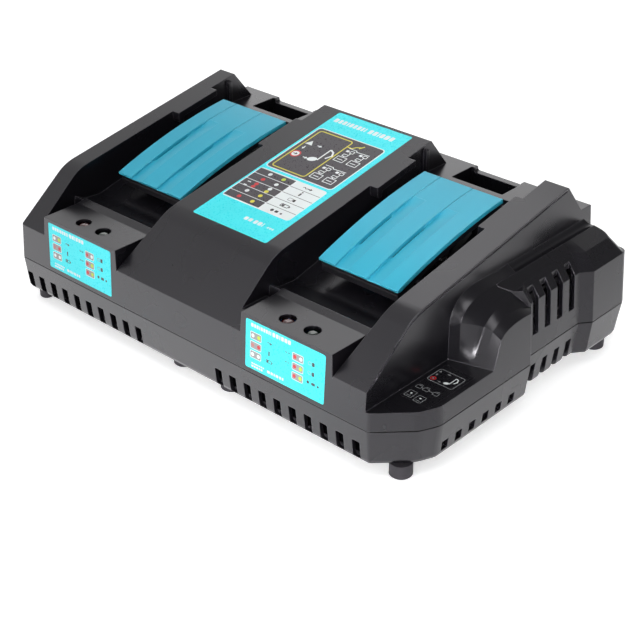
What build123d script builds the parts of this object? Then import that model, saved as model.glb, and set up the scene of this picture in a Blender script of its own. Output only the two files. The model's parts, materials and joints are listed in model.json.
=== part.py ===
from build123d import *
from math import atan, cos, degrees, radians, sin, tan
import os

# Two-bay charger for slide-on tool batteries.
# X runs along the length, Y from front to back, Z up. Z = 0 is the table under the feet.
# X = 0 and Y = 0 are the middle of the whole charger.

os.makedirs("parts", exist_ok=True)


def write_part(part, node):
    """Label a finished piece and write it as its own STEP file."""
    part.label = node
    export_step(part, f"parts/{node}.step")


# ---------------------------------------------------------------- driving dimensions
length = 310.0
depth = 208.0
wall = 2.6  # plastic wall thickness
gap = 0.3  # clearance between separate pieces
seam_z = 31.2  # joint between the two housings
under_z = 8.5  # underside of the lower housing
deck_z = 87.3  # rear deck
half_length = length / 2
half_depth = depth / 2
front_y = -half_depth
rear_y = half_depth
front_draft = 3.5
side_draft = 4.5  # right end
left_draft = 1.6

# Bays
bay_pitch = 170.0
left_bay_x = -96.3
bay_centres = (left_bay_x, left_bay_x + bay_pitch)
bay_left = 44.0  # from the bay middle to its left wall
bay_right = 39.0  # from the bay middle to its right wall
bay_left_low = 42.8  # the same two distances at the foot of each wall, beside the lamp block
bay_right_low = 31.9
flare_low_z = 52.0
flare_high_z = 83.0
ledge_z = 60.5  # ledge between the lamp block and the left wall
bay_rear_y = 68.0  # where the bay meets the rear deck
wall_rear_y = 70.9
wall_rear_z = 107.0
crease_z = 53.2  # top of the upright front face
bend_y = -66.0  # where the steep front of each wall turns into its long slope
bend_z = 82.5
bend_radius = 28.0
wall_slope = (wall_rear_z - bend_z) / (wall_rear_y - bend_y)  # rise per millimetre of depth
corner_radius = 1.2

# Front blocks with the lamps
block_offset_x = -1.9  # block middle, measured from the bay middle
block_half_width = 33.65
block_top_half_width = 32.5
block_top_z = 65.5
block_rear_y = -70.0
block_strip_y = -75.6  # front edge of the ridge along the rear of the block
lamp_y = -90.5
lamp_pair_x = -2.1  # middle of the two lamps, measured from the bay middle
lamp_spacing = 18.0
lamp_hole_radius = 4.9
lamp_board_z = 53.0

# Right wall, side pan and vent lobe
main_right_x = 128.6
pan_z = 42.0
bevel_z = 63.2  # foot of the bevel round the vent lobe
lobe_inner_x = 134.6  # crease where the lobe meets the sweep up to the wall
lobe_inner_z = 77.4
sweep_top_z = 81.0
recess_x = 149.6
recess_front_y = (5.8, 13.8)  # slanted step into the recess
recess_rear_y = (61.0, 67.8)

# Battery guide rails and rear pockets
rail_front_y = 14.5
rail_rear_y = 49.0
rail_inner = {-1: 38.3, 1: 34.3}  # from the bay middle to the face of the left and right rail
pocket_x = (-28.8, 9.0)
pocket_y = (72.5, 93.0)
pocket_floor_z = 66.0

# Vent slots
slot_width = 5.5
slot_pitch = 11.4
front_slot_starts = (-151.1, 19.5)
front_slot_z = (9.3, 20.9)
side_slot_y = [-67.6 + 11.8 * i for i in range(6)]
side_slot_z = (12.0, 18.0)
lobe_slot_y = (18.0, 29.8, 41.7, 53.6)

# Terminal covers
cover_offset_x = -0.9  # cover middle, measured from the bay middle
cover_width = 56.8
cover_front = (-46.2, 78.3)
cover_rear = (46.4, 99.7)
cover_rise = 3.0  # height of the arc over its chord
cover_thickness = 2.6
cover_slope = (cover_rear[1] - cover_front[1]) / (cover_rear[0] - cover_front[0])
cover_angle = degrees(atan(cover_slope))
carriage_width = 55.0
carriage_thickness = 4.2
channel_left_x = (-16.4, 7.0)
channel_width = 9.5
channel_depth = 1.6  # along the left side of each channel; its floor rises to nothing at the right
channel_end_y = 13.5
channel_ramp = 8.0
slot_gap = 1.2
slide_angle = 32.0  # below horizontal, towards the front
leg_x = (22.0, 26.0)

# Floor of each bay under its cover
floor_front = (-52.0, 61.0)
floor_rear = (50.0, 83.0)

# Fixed terminals under each cover
blade_x = (-15.8, 7.6)
blade_y = (-25.0, -9.0)
blade_thickness = 0.6
signal_x = (-7.0, -3.0, 1.0)
signal_y = -18.0

# Fasteners and feet
boss_spots = [
    (left_bay_x, -58.0, 59.0),
    (left_bay_x + bay_pitch, -58.0, 59.0),
    (left_bay_x, 60.0, 81.5),
    (left_bay_x + bay_pitch, 60.0, 81.5),
    (-12.0, -90.0, 57.6),
    (-12.0, 90.0, 86.0),
]
boss_radius = 4.5
foot_radius = 6.5
corner_foot_radius = 4.6  # the foot in the front left corner
foot_spots = [
    (-149.8, -92.8),
    (-25.0, -88.4),
    (14.9, -88.4),
    (140.0, -86.9),
    (-145.5, 90.0),
    (-25.0, 90.0),
    (14.9, 90.0),
    (143.5, 91.0),
]

# Circuit board and what stands on it
board_x = (-80.0, 60.0)
board_y = (-45.0, 50.0)
board_z = 17.0
board_thickness = 1.6
board_top = board_z + board_thickness
board_screws_at = [(x, y) for x in (-75.0, 55.0) for y in (-40.0, 45.0)]

# Fan behind the vent recess
fan_centre_y = 40.0
fan_centre_z = 37.5
fan_size = 50.0
fan_front_x = 127.0
fan_thickness = 13.0

# Cord inlet in the rear wall
gland_x = -60.0
gland_z = 20.0
gland_bore_radius = 3.7

# Labels: thin films set into the plastic
film = 0.3
film_proud = 0.05

node_names = ("left", "right")


# ---------------------------------------------------------------- shared geometry
def wall_top(y):
    """Height of the straight wall tops at a given depth."""
    return wall_rear_z - wall_slope * (wall_rear_y - y)


def floor_top(y):
    """Height of the bay floor under the cover."""
    rise = (floor_rear[1] - floor_front[1]) / (floor_rear[0] - floor_front[0])
    return floor_front[1] + rise * (y - floor_front[0])


def front_lean(z):
    """How far the front and rear faces lean in at a height above the seam."""
    return (z - seam_z) * tan(radians(front_draft))


def side_lean(z):
    """How far the right side leans in at a height above the seam."""
    return (z - seam_z) * tan(radians(side_draft))


def drafted_body(inset):
    """Tall body with the drafts of the front, rear and left faces."""
    with BuildPart() as body:
        for z in (seam_z - 1, seam_z + 90):
            lean = inset + front_lean(z)
            left_x = -half_length + inset + (z - seam_z) * tan(radians(left_draft))
            with BuildSketch(Plane.XY.offset(z)):
                with BuildLine():
                    FilletPolyline(
                        (left_x, front_y + lean),
                        (half_length, front_y + lean),
                        (half_length, rear_y - lean),
                        (left_x, rear_y - lean),
                        radius=[corner_radius, 0, 0, corner_radius],
                        close=True,
                    )
                make_face()
        loft(ruled=True)
    return body.part


def cover_point(y, sink):
    """Point of the cover's arc at a depth, lowered square to its chord."""
    half_chord = (cover_rear[0] - cover_front[0]) / 2
    middle = (cover_rear[0] + cover_front[0]) / 2
    chord_z = cover_front[1] + cover_slope * (y - cover_front[0])
    bulge = cover_rise * (1 - ((y - middle) / half_chord) ** 2)
    lean = radians(cover_angle)
    return (y + (sink - bulge) * sin(lean), chord_z - (sink - bulge) * cos(lean))


# ---------------------------------------------------------------- outer forms
def main_mass(inset):
    """Body under the wall tops, inset on every outer face."""
    drop = inset * 1.1
    bottom = seam_z - (1.0 if inset else 0.0)
    outline = [
        (front_y - 2, bottom),
        (front_y - 2, crease_z - 2.7 - drop),
        (bend_y, bend_z - drop),
        (wall_rear_y - inset * 0.6, wall_rear_z - drop),
        (87.0 - inset * 0.8, deck_z - drop),
        (97.0 - inset, deck_z - drop),
        (104.8 - inset, bottom),
    ]
    with BuildPart() as mass:
        with BuildSketch(Plane.YZ.offset(-half_length - 5)):
            with BuildLine():
                FilletPolyline(*outline, radius=[0, 0, bend_radius, 1, 1, 1, 0], close=True)
            make_face()
        extrude(amount=half_length + 5 + main_right_x - inset)
        add(drafted_body(inset), mode=Mode.INTERSECT)
    return mass.part


def right_plan(front_in, side_in, rear_in, step_in):
    """Plan of the right end: chamfered front corner, vent recess and the jog behind it."""
    return [
        (100.0, front_y + front_in),
        (131.4 - 0.41 * side_in, front_y + front_in),
        (150.0 - 0.83 * side_in, -85.5 + 0.59 * side_in),
        (half_length - side_in, -74.0 + 0.23 * side_in),
        (half_length - side_in, recess_front_y[0] - 0.8 * step_in),
        (recess_x - side_in, recess_front_y[1] - 0.8 * step_in),
        (recess_x - side_in, recess_rear_y[0] + 0.37 * step_in),
        (half_length - side_in, recess_rear_y[1] + 0.37 * step_in),
        (half_length - side_in, rear_y - rear_in),
        (100.0, rear_y - rear_in),
    ]


rear_corner = 5.5
right_radii = [0, 3, 14, 10, 0, 0, 0, 0, rear_corner, 0]

# Slope from the crease of the lobe down to its bevel: depth, then a point (x, height) on the slope's outer
# side. It is flatter behind the recess than beside it.
lobe_slopes = [
    (-rear_y - 10, 141.7, 72.6),
    (recess_rear_y[0], 141.7, 72.6),
    (recess_rear_y[1], 146.4, 73.4),
    (rear_y + 10, 146.4, 73.4),
]


def lobe_roof(inset):
    """Space under the top of the lobe: the sweep from the wall to the crease, then the slope outside it."""
    crest = (lobe_inner_x - 0.7 * inset, lobe_inner_z - inset)
    bottom = seam_z - 6.0
    with BuildPart() as roof:
        with BuildSketch(Plane.XZ.offset(-rear_y - 10)):
            with BuildLine():
                sides = Polyline((90.0, sweep_top_z - inset), (90.0, bottom), (crest[0], bottom), crest)
                curve = TangentArc((128.4 - inset, sweep_top_z - inset), crest, tangent=(0.2, -1))
                Line(curve @ 0, sides @ 0)
            make_face()
        extrude(amount=2 * rear_y + 20)
        for station, following in zip(lobe_slopes[:-1], lobe_slopes[1:]):
            for y, outer_x, outer_z in (station, following):
                with BuildSketch(Plane.XZ.offset(-y)):
                    with BuildLine():
                        Polyline(
                            crest,
                            (outer_x - inset, outer_z - inset),
                            (170.0, outer_z - inset),
                            (170.0, bottom),
                            (crest[0], bottom),
                            close=True,
                        )
                    make_face()
            loft(ruled=True)
    return roof.part


def pod_mass(inset):
    """Side pan and vent lobe at the right of the main body, inset on every face."""
    bottom = seam_z - (1.0 if inset else 0.0)
    bevel_height = 18.0
    bevel_in = 0.66 * bevel_height
    with BuildPart() as pod:
        for z in (bottom, bevel_z):
            lean = inset + front_lean(z)
            plan = right_plan(lean, inset + side_lean(z), inset, inset)
            with BuildSketch(Plane.XY.offset(z)):
                with BuildLine():
                    FilletPolyline(*plan, radius=right_radii, close=True)
                make_face()
        loft(ruled=True)
        # Bevel round the lobe
        for rise, more in ((0, 0), (bevel_height, bevel_in)):
            side_in = inset + side_lean(bevel_z) + more
            plan = right_plan(0, side_in, inset + front_lean(bevel_z) + more, inset)
            lobe_plan = [(100.0, -10.0), (plan[4][0], -10.0)] + plan[4:]
            with BuildSketch(Plane.XY.offset(bevel_z + rise)):
                with BuildLine():
                    FilletPolyline(*lobe_plan, radius=[0, 0, 0, 0, 0, 0, rear_corner, 0], close=True)
                make_face()
        loft(ruled=True)
        # Core of the sweep between the lobe and the wall
        with BuildSketch(Plane.XY.offset(bevel_z)):
            with Locations((115.0, 43.0)):
                Rectangle(50.0, 86.0)
        extrude(amount=sweep_top_z - bevel_z - inset)
        add(lobe_roof(inset), mode=Mode.INTERSECT)
        # Open space over the side pan, up to the slanted front end of the lobe
        with BuildSketch(Plane.XY.offset(pan_z - inset)):
            with BuildLine():
                Polyline(
                    (90, front_y - 5),
                    (170, front_y - 5),
                    (170, 13.6 + inset),
                    (149.2, 13.6 + inset),
                    (147.5, 10.0 + inset),
                    (141.3, 3.5 + inset),
                    (136.0, -3.0 + inset),
                    (90, -3.0 + inset),
                    close=True,
                )
            make_face()
        extrude(amount=60, mode=Mode.SUBTRACT)
    return pod.part


# Shoulder between the side pan and the lobe, as (depth, height) at seven stations across it: the foot
# and head of its steep front, then the curve of its top
shoulder_stations = {
    main_right_x: [(-35.2, 39.0), (-35.2, 62.0), (-33.0, 71.5), (-27.0, 77.5), (-15.0, 80.6), (15.0, 81.0)],
    lobe_inner_x: [(-33.2, 39.0), (-33.6, 66.5), (-29.4, 72.6), (-22.0, 75.8), (-11.0, 77.3), (15.0, 77.4)],
    140.6: [(-32.7, 39.0), (-24.8, 63.3), (-20.0, 67.8), (-12.4, 71.0), (-2.6, 72.4), (15.0, 72.9)],
    142.3: [(-32.6, 39.0), (-22.6, 62.4), (-17.6, 66.4), (-10.5, 69.1), (-2.0, 70.2), (15.0, 69.2)],
    147.4: [(-31.2, 39.0), (-22.2, 60.8), (-17.0, 64.0), (-9.8, 65.6), (-1.0, 65.6), (15.0, 61.0)],
    152.6: [(-29.9, 39.0), (-21.4, 57.6), (-16.4, 60.8), (-9.2, 62.2), (1.0, 62.6), (15.0, 60.5)],
    158.0: [(-28.6, 39.0), (-20.6, 54.4), (-15.8, 57.6), (-8.6, 58.8), (3.0, 59.6), (15.0, 58.5)],
}


def arch_mass(inset):
    """Shoulder that rises from the side pan to the vent lobe."""
    with BuildPart() as arch:
        for x, curve in shoulder_stations.items():
            shifted = [(y + inset * 0.8, z - inset * 0.9) for y, z in curve]
            with BuildSketch(Plane.YZ.offset(x - inset)):
                with BuildLine():
                    front = Line(shifted[0], shifted[1])
                    top = Spline(*shifted[1:])
                    Polyline(top @ 1, (shifted[-1][0], shifted[0][1]), front @ 0)
                make_face()
        loft(ruled=True)
        for z in (seam_z, seam_z + 62):
            lean = inset + front_lean(z)
            plan = right_plan(lean, inset + side_lean(z), lean, inset)
            with BuildSketch(Plane.XY.offset(z)):
                with BuildLine():
                    FilletPolyline(*plan, radius=right_radii, close=True)
                make_face()
        loft(ruled=True, mode=Mode.INTERSECT)
    return arch.part


def bay_void(centre_x, grow):
    """Open space of one bay above its floor, grown by a wall thickness."""
    left = bay_left + grow
    right = bay_right + grow
    floor = [
        (front_y - 10, flare_low_z - grow),
        (block_rear_y - 4, flare_low_z - grow),
        (block_rear_y - 1, 66.0 - grow),
        (-64.0, 62.0 - grow),
        (floor_front[0], floor_front[1] - grow),
        (floor_rear[0], floor_rear[1] - grow),
        (bay_rear_y + grow, floor_rear[1] + 0.6 - grow),
        (bay_rear_y + grow, deck_z - grow),
        (rear_y + 20, deck_z - grow),
        (rear_y + 20, 130.0),
        (front_y - 10, 130.0),
    ]
    # Cross-sections: flared beside the lamp block, nearly upright under the cover
    front_feet = (bay_left_low + grow, bay_right_low + grow)
    rear_feet = (left - 1.2, right - 1.5)
    stations = [(front_y - 10, front_feet), (-66.0, front_feet), (-46.0, rear_feet), (rear_y + 20, rear_feet)]
    with BuildPart() as void:
        for station, following in zip(stations[:-1], stations[1:]):
            for y, (left_foot, right_foot) in (station, following):
                with BuildSketch(Plane.XZ.offset(-y)):
                    with BuildLine():
                        Polyline(
                            (centre_x - left_foot, 40.0),
                            (centre_x - left_foot, flare_low_z),
                            (centre_x - left, flare_high_z),
                            (centre_x - left, 131.0),
                            (centre_x + right, 131.0),
                            (centre_x + right, flare_high_z),
                            (centre_x + right_foot, flare_low_z),
                            (centre_x + right_foot, 40.0),
                            close=True,
                        )
                    make_face()
            loft(ruled=True)
        with BuildSketch(Plane.YZ.offset(centre_x - 60)):
            with BuildLine():
                FilletPolyline(*floor, radius=[0, 0, 0, 8, 12, 20, 0, 0, 0, 0, 0], close=True)
            make_face()
        extrude(amount=120, mode=Mode.INTERSECT)
        # Ledge between the lamp block and the left wall
        with BuildSketch(Plane.YZ.offset(centre_x - 60)):
            with BuildLine():
                Polyline(
                    (front_y - 15, 30.0),
                    (front_y - 15, ledge_z - grow),
                    (block_rear_y - 4, ledge_z - grow),
                    (block_rear_y - 4, 30.0),
                    close=True,
                )
            make_face()
        extrude(amount=30 - grow, mode=Mode.SUBTRACT)
    return void.part


def lamp_block(centre_x, inset):
    """Raised block with the lamps at the front of one bay."""
    with BuildPart() as block:
        with BuildSketch(Plane.YZ.offset(centre_x - 50)):
            with BuildLine():
                Polyline(
                    (front_y - 5, flare_low_z - 6),
                    (front_y - 5, block_top_z - inset),
                    (block_strip_y, block_top_z - inset),
                    (block_rear_y - inset, block_top_z + 1.5 - inset),
                    (block_rear_y - inset, flare_low_z - 6),
                    close=True,
                )
            make_face()
        extrude(amount=100)
        with BuildSketch(Plane.XZ.offset(rear_y + 30)):
            with BuildLine():
                Polyline(
                    (centre_x - block_half_width + inset, flare_low_z - 8),
                    (centre_x - block_half_width + inset, flare_low_z),
                    (centre_x - block_top_half_width + inset, block_top_z + 5),
                    (centre_x + block_top_half_width - inset, block_top_z + 5),
                    (centre_x + block_half_width - inset, flare_low_z),
                    (centre_x + block_half_width - inset, flare_low_z - 8),
                    close=True,
                )
            make_face()
        extrude(amount=-2 * (rear_y + 30), mode=Mode.INTERSECT)
        add(drafted_body(inset), mode=Mode.INTERSECT)
    return block.part


# ---------------------------------------------------------------- labels
front_plane = Plane(
    origin=(0, front_y, seam_z),
    x_dir=(1, 0, 0),
    z_dir=(0, -cos(radians(front_draft)), sin(radians(front_draft))),
)
top_angle = atan(wall_slope)
top_plane = Plane(
    origin=(0, wall_rear_y, wall_rear_z),
    x_dir=(1, 0, 0),
    z_dir=(0, -sin(top_angle), cos(top_angle)),
)


def label_film(plane, x_range, v_range, corner, above=0.0):
    """Thin film on a plane of the housing, a hair proud of it, or its seat with room above."""
    middle = ((x_range[0] + x_range[1]) / 2, (v_range[0] + v_range[1]) / 2)
    with BuildPart() as film_part:
        with BuildSketch(plane.offset(film_proud + above)):
            with Locations(middle):
                RectangleRounded(x_range[1] - x_range[0], v_range[1] - v_range[0], corner)
        extrude(amount=-film - above)
    return film_part.part


front_label_x = (-31.1, 26.8)  # measured from the bay middle
labels = {
    f"{name}_front_label": (front_plane, (x + front_label_x[0], x + front_label_x[1]), (2.6, 32.2), 1.2)
    for name, x in zip(node_names, bay_centres)
}
labels["centre_label"] = (top_plane, (-42.2, 17.6), (-133.7, -2.7), 1.5)
labels["side_label"] = (Plane.XY.offset(pan_z), (131.5, 150.5), (-79.0, -40.0), 1.0)
for node, form in labels.items():
    write_part(label_film(*form), node)


# ---------------------------------------------------------------- upper housing
def guide_rail(centre_x, side):
    """Rail on one wall of a bay that guides the battery, with a hanging nose at its front."""
    wall_x = centre_x + (bay_right if side > 0 else -bay_left) + side
    face_x = centre_x + side * rail_inner[side]
    nose_y = rail_front_y + 4.2
    profile = [
        (rail_front_y, wall_top(rail_front_y)),
        (rail_rear_y, wall_top(rail_rear_y)),
        (rail_rear_y, wall_top(rail_rear_y) - 4.0),
        (nose_y, wall_top(nose_y) - 4.0),
        (nose_y, wall_top(nose_y) - 7.8),
        (rail_front_y, wall_top(nose_y) - 7.8),
    ]
    with BuildPart() as rail:
        with BuildSketch(Plane.YZ.offset(min(wall_x, face_x))):
            with BuildLine():
                FilletPolyline(*profile, radius=[0, 0, 0, 1.0, 1.9, 1.9], close=True)
            make_face()
        extrude(amount=abs(wall_x - face_x))
    return rail.part


def slide_height(y, end_y, end_z):
    """Height along a slide line that falls to the front at the slide angle."""
    return end_z + (y - end_y) * tan(radians(slide_angle))


# Rear ends of the front and rear slide lines, just under the carriage
slide_ends = [(y, cover_point(y, 6.8)[1] - drop) for y, drop in ((-22.0, 4.9), (30.0, 5.5))]
leg_length = 3.0
cover_travel = 12.0
travel_y = cover_travel * cos(radians(slide_angle))


def slide_ramps(centre_x):
    """Four ramps on the bay floor that the carriage legs run down."""
    with BuildPart() as ramps:
        for end_y, end_z in slide_ends:
            start_y = end_y - leg_length - travel_y
            clear = gap / cos(radians(slide_angle))
            for x in (centre_x - leg_x[1], centre_x + leg_x[0]):
                with BuildSketch(Plane.YZ.offset(x)):
                    with BuildLine():
                        Polyline(
                            (start_y, floor_top(start_y) - 1.5),
                            (start_y, slide_height(start_y, end_y, end_z) - clear),
                            (end_y, end_z - clear),
                            (end_y, floor_top(end_y) - 1.5),
                            close=True,
                        )
                    make_face()
                extrude(amount=leg_x[1] - leg_x[0])
    return ramps.part


def wall_rib(centre_x, side):
    """Short upright rib on a bay wall behind the guide rail."""
    wall_x = centre_x + (bay_right if side > 0 else -bay_left)
    with BuildPart() as rib:
        with BuildSketch(Plane.XY.offset(floor_rear[1] - 1)):
            with Locations((wall_x - side * 0.5, 65.2)):
                Rectangle(3.6, 2.8)
        extrude(amount=wall_top(62.0) - 1.6 - floor_rear[1] + 1)
        chamfer(rib.edges().group_by(Axis.Z)[-1], 0.8)
    return rib.part


outer_voids = [bay_void(x, 0) for x in bay_centres]
inner_voids = [bay_void(x, wall) for x in bay_centres]
outer_blocks = [lamp_block(x + block_offset_x, 0) for x in bay_centres]
inner_blocks = [lamp_block(x + block_offset_x, wall) for x in bay_centres]

with BuildPart() as cavity:
    add(main_mass(wall))
    add(pod_mass(wall))
    add(arch_mass(wall))
    for void in inner_voids:
        add(void, mode=Mode.SUBTRACT)
    for block in inner_blocks:
        add(block)

with BuildPart() as upper_housing:
    add(main_mass(0))
    add(pod_mass(0))
    add(arch_mass(0))
    for void in outer_voids:
        add(void, mode=Mode.SUBTRACT)
    for block in outer_blocks:
        add(block)
    add(cavity.part, mode=Mode.SUBTRACT)
    # Screw bosses, from the seam up into the plastic above
    for x, y, top in boss_spots:
        with BuildSketch(Plane.XY.offset(seam_z)):
            with Locations((x, y)):
                Circle(boss_radius)
        extrude(amount=top - seam_z)
    # Walls of the rear pockets
    for x in bay_centres:
        with BuildSketch(Plane.XY.offset(pocket_floor_z - 2)):
            with Locations((x + sum(pocket_x) / 2, (pocket_y[0] - 2 + 96) / 2)):
                Rectangle(pocket_x[1] - pocket_x[0] + 4, 96 - pocket_y[0] + 2)
        extrude(amount=deck_z - 1.3 - pocket_floor_z + 2)
    for x in bay_centres:
        add(guide_rail(x, -1))
        add(guide_rail(x, 1))
        add(wall_rib(x, -1))
        add(wall_rib(x, 1))
        add(slide_ramps(x + cover_offset_x))
        # Posts that carry the lamp board
        with BuildSketch(Plane.XY.offset(lamp_board_z + board_thickness)):
            with Locations((x + lamp_pair_x - 14.8, lamp_y + 4), (x + lamp_pair_x + 14.8, lamp_y + 4)):
                Circle(1.8)
        extrude(amount=9.0)
    for x in bay_centres:
        # Rear pocket and the lowered middle of its rear wall
        with BuildSketch(Plane.XY.offset(pocket_floor_z)):
            with Locations((x + sum(pocket_x) / 2, sum(pocket_y) / 2)):
                RectangleRounded(pocket_x[1] - pocket_x[0], pocket_y[1] - pocket_y[0], 1.0)
        extrude(amount=30, mode=Mode.SUBTRACT)
        with BuildSketch(Plane.XZ.offset(-(pocket_y[1] - 1))):
            with BuildLine():
                FilletPolyline(
                    (x - 27.0, deck_z + 5),
                    (x - 27.0, deck_z - 3),
                    (x + 8.0, deck_z - 3),
                    (x + 8.0, deck_z + 5),
                    radius=[0, 1.2, 1.2, 0],
                    close=True,
                )
            make_face()
        extrude(amount=-12, mode=Mode.SUBTRACT)
        # Lamp holes
        with BuildSketch(Plane.XY.offset(block_top_z - 8)):
            with Locations((x + lamp_pair_x, lamp_y)):
                with GridLocations(lamp_spacing, 1, 2, 1):
                    Circle(lamp_hole_radius)
        extrude(amount=20, mode=Mode.SUBTRACT)
        # Slots in the bay floor for the terminals
        with BuildSketch(Plane.XY.offset(50)):
            with Locations([(x + cover_offset_x + dx, sum(blade_y) / 2) for dx in blade_x]):
                Rectangle(blade_thickness + 0.6, blade_y[1] - blade_y[0] + 0.6)
            with Locations([(x + cover_offset_x + dx, signal_y) for dx in signal_x]):
                Rectangle(1.6, 5.6)
        extrude(amount=28, mode=Mode.SUBTRACT)
    # Tall vent slots through the lobe and its bevel
    for y in lobe_slot_y:
        with BuildSketch(Plane.XY.offset(pan_z + 0.5)):
            with Locations((152.3, y)):
                Rectangle(20.0, slot_width)
        extrude(amount=40, mode=Mode.SUBTRACT)
    # Groove under the top edge of the right wall
    groove_drop = 1.9
    with BuildSketch(Plane.YZ.offset(main_right_x - 0.5)):
        with BuildLine():
            FilletPolyline(
                (front_y + 4, crease_z + 3.0 - groove_drop),
                (bend_y, bend_z - groove_drop),
                (wall_rear_y - 1.0, wall_rear_z - groove_drop),
                radius=bend_radius,
            )
        trace(line_width=1.0)
    extrude(amount=4, mode=Mode.SUBTRACT)
    # Screw pilot holes
    for x, y, top in boss_spots:
        with BuildSketch(Plane.XY.offset(seam_z)):
            with Locations((x, y)):
                Circle(2.05)
        extrude(amount=18, mode=Mode.SUBTRACT)
    # Seats of the labels
    for form in labels.values():
        add(label_film(*form, above=1.0), mode=Mode.SUBTRACT)
write_part(upper_housing.part, "upper_housing")


# ---------------------------------------------------------------- lower housing
def lower_plan(inset, lean):
    """Plan of the lower housing, moved in by a wall and by its draft."""
    side_in = inset + lean
    left_x = -half_length + inset + 0.1 * min(lean, 2.1) + max(lean - 2.1, 0.0)
    plan = right_plan(side_in, side_in, side_in, inset)
    return [(left_x, front_y + side_in)] + plan[1:-1] + [(left_x, rear_y - side_in)]


lower_radii = [corner_radius] + right_radii[1:-1] + [corner_radius]
lower_sections = [
    (seam_z - gap, 0.45),
    (seam_z - gap - 0.45, 0.0),
    (under_z + 2.7, 2.1),
    (under_z + 0.9, 2.8),
    (under_z, 4.4),
]
lower_floor_z = under_z + wall

with BuildPart() as lower_cavity:
    for z, lean in ((seam_z + 1, 0.0), (lower_floor_z, 2.1)):
        with BuildSketch(Plane.XY.offset(z)):
            with BuildLine():
                FilletPolyline(*lower_plan(wall, lean), radius=lower_radii, close=True)
            make_face()
    loft(ruled=True)

with BuildPart() as lower_housing:
    for (z_start, lean_start), (z_end, lean_end) in zip(lower_sections[:-1], lower_sections[1:]):
        for z, lean in ((z_start, lean_start), (z_end, lean_end)):
            with BuildSketch(Plane.XY.offset(z)):
                with BuildLine():
                    FilletPolyline(*lower_plan(0, lean), radius=lower_radii, close=True)
                make_face()
        loft(ruled=True)
    add(lower_cavity.part, mode=Mode.SUBTRACT)
    # Screw bosses and board standoffs
    with BuildSketch(Plane.XY.offset(under_z + 1)):
        with Locations([(x, y) for x, y, top in boss_spots]):
            Circle(boss_radius)
    extrude(amount=seam_z - under_z - 1)
    with BuildSketch(Plane.XY.offset(under_z + 1)):
        with Locations(board_screws_at):
            Circle(3.5)
    extrude(amount=board_z - under_z - 1)
    # Cradle of the fan
    with BuildSketch(Plane.XY.offset(under_z + 1)):
        with Locations((fan_front_x - 1.4, fan_centre_y), (fan_front_x + fan_thickness + 1.4, fan_centre_y)):
            Rectangle(2.0, 30.0)
    extrude(amount=10.0)
    # Screw holes with their counterbores
    with BuildSketch(Plane.XY.offset(under_z - 1)):
        with Locations([(x, y) for x, y, top in boss_spots]):
            Circle(3.9)
    extrude(amount=4.5, mode=Mode.SUBTRACT)
    with BuildSketch(Plane.XY.offset(under_z)):
        with Locations([(x, y) for x, y, top in boss_spots]):
            Circle(2.25)
        with Locations(board_screws_at):
            Circle(1.55)
    extrude(amount=30, mode=Mode.SUBTRACT)
    # Holes for the stems of the feet
    with BuildSketch(Plane.XY.offset(under_z - 1)):
        with Locations(foot_spots):
            Circle(2.5)
    extrude(amount=8, mode=Mode.SUBTRACT)
    # Front vent slots, two groups of ten
    for start in front_slot_starts:
        with BuildSketch(Plane.XZ.offset(-front_y + 6)):
            for i in range(10):
                with Locations((start + slot_pitch * i, sum(front_slot_z) / 2)):
                    RectangleRounded(slot_width, front_slot_z[1] - front_slot_z[0], 0.6)
        extrude(amount=-11.5, mode=Mode.SUBTRACT)
    # Low side slots and the deeper slots under the lobe, open at the bottom edge
    with BuildSketch(Plane.YZ.offset(half_length - 9)):
        for y in side_slot_y:
            with Locations((y, sum(side_slot_z) / 2)):
                Rectangle(slot_width, side_slot_z[1] - side_slot_z[0])
    extrude(amount=12, mode=Mode.SUBTRACT)
    with BuildSketch(Plane.YZ.offset(143.4)):
        for y in lobe_slot_y:
            with Locations((y, 14.0)):
                Rectangle(slot_width, 17.0)
    extrude(amount=16, mode=Mode.SUBTRACT)
    # Air slots in the floor under the board
    with BuildSketch(Plane.XY.offset(under_z - 1)):
        with Locations((-45.0, 0.0), (35.0, 0.0)):
            with GridLocations(6.0, 1, 7, 1):
                SlotOverall(28.0, 3.0, rotation=90)
    extrude(amount=wall + 2, mode=Mode.SUBTRACT)
    # Cord inlet
    with BuildSketch(Plane.XZ.offset(-101.8)):
        with Locations((gland_x, gland_z)):
            Circle(7.65)
    extrude(amount=-6, mode=Mode.SUBTRACT)
    with BuildSketch(Plane.XZ.offset(-96.0)):
        with Locations((gland_x, gland_z)):
            Circle(5.5)
    extrude(amount=-10, mode=Mode.SUBTRACT)
write_part(lower_housing.part, "lower_housing")

# ---------------------------------------------------------------- feet, screws, cord inlet
with BuildPart() as feet:
    with BuildSketch(Plane.XY):
        with Locations(foot_spots[0]):
            Circle(corner_foot_radius)
        with Locations(foot_spots[1:]):
            Circle(foot_radius)
    extrude(amount=under_z)
    chamfer(feet.edges().group_by(Axis.Z)[0], 0.7)
    with BuildSketch(Plane.XY.offset(under_z)):
        with Locations(foot_spots):
            Circle(2.45)
    extrude(amount=3.6)
write_part(feet.part, "feet")

with BuildPart() as housing_screws:
    with BuildSketch(Plane.XY.offset(under_z + 1.0)):
        with Locations([(x, y) for x, y, top in boss_spots]):
            Circle(3.7)
    extrude(amount=2.5)
    with BuildSketch(Plane.XY.offset(under_z + 3.5)):
        with Locations([(x, y) for x, y, top in boss_spots]):
            Circle(2.0)
    extrude(amount=seam_z + 14 - under_z - 3.5)
    with BuildSketch(Plane.XY.offset(under_z + 1.0)):
        with Locations([(x, y) for x, y, top in boss_spots]):
            Rectangle(4.4, 1.0)
            Rectangle(1.0, 4.4)
    extrude(amount=1.3, mode=Mode.SUBTRACT)
write_part(housing_screws.part, "housing_screws")

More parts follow.
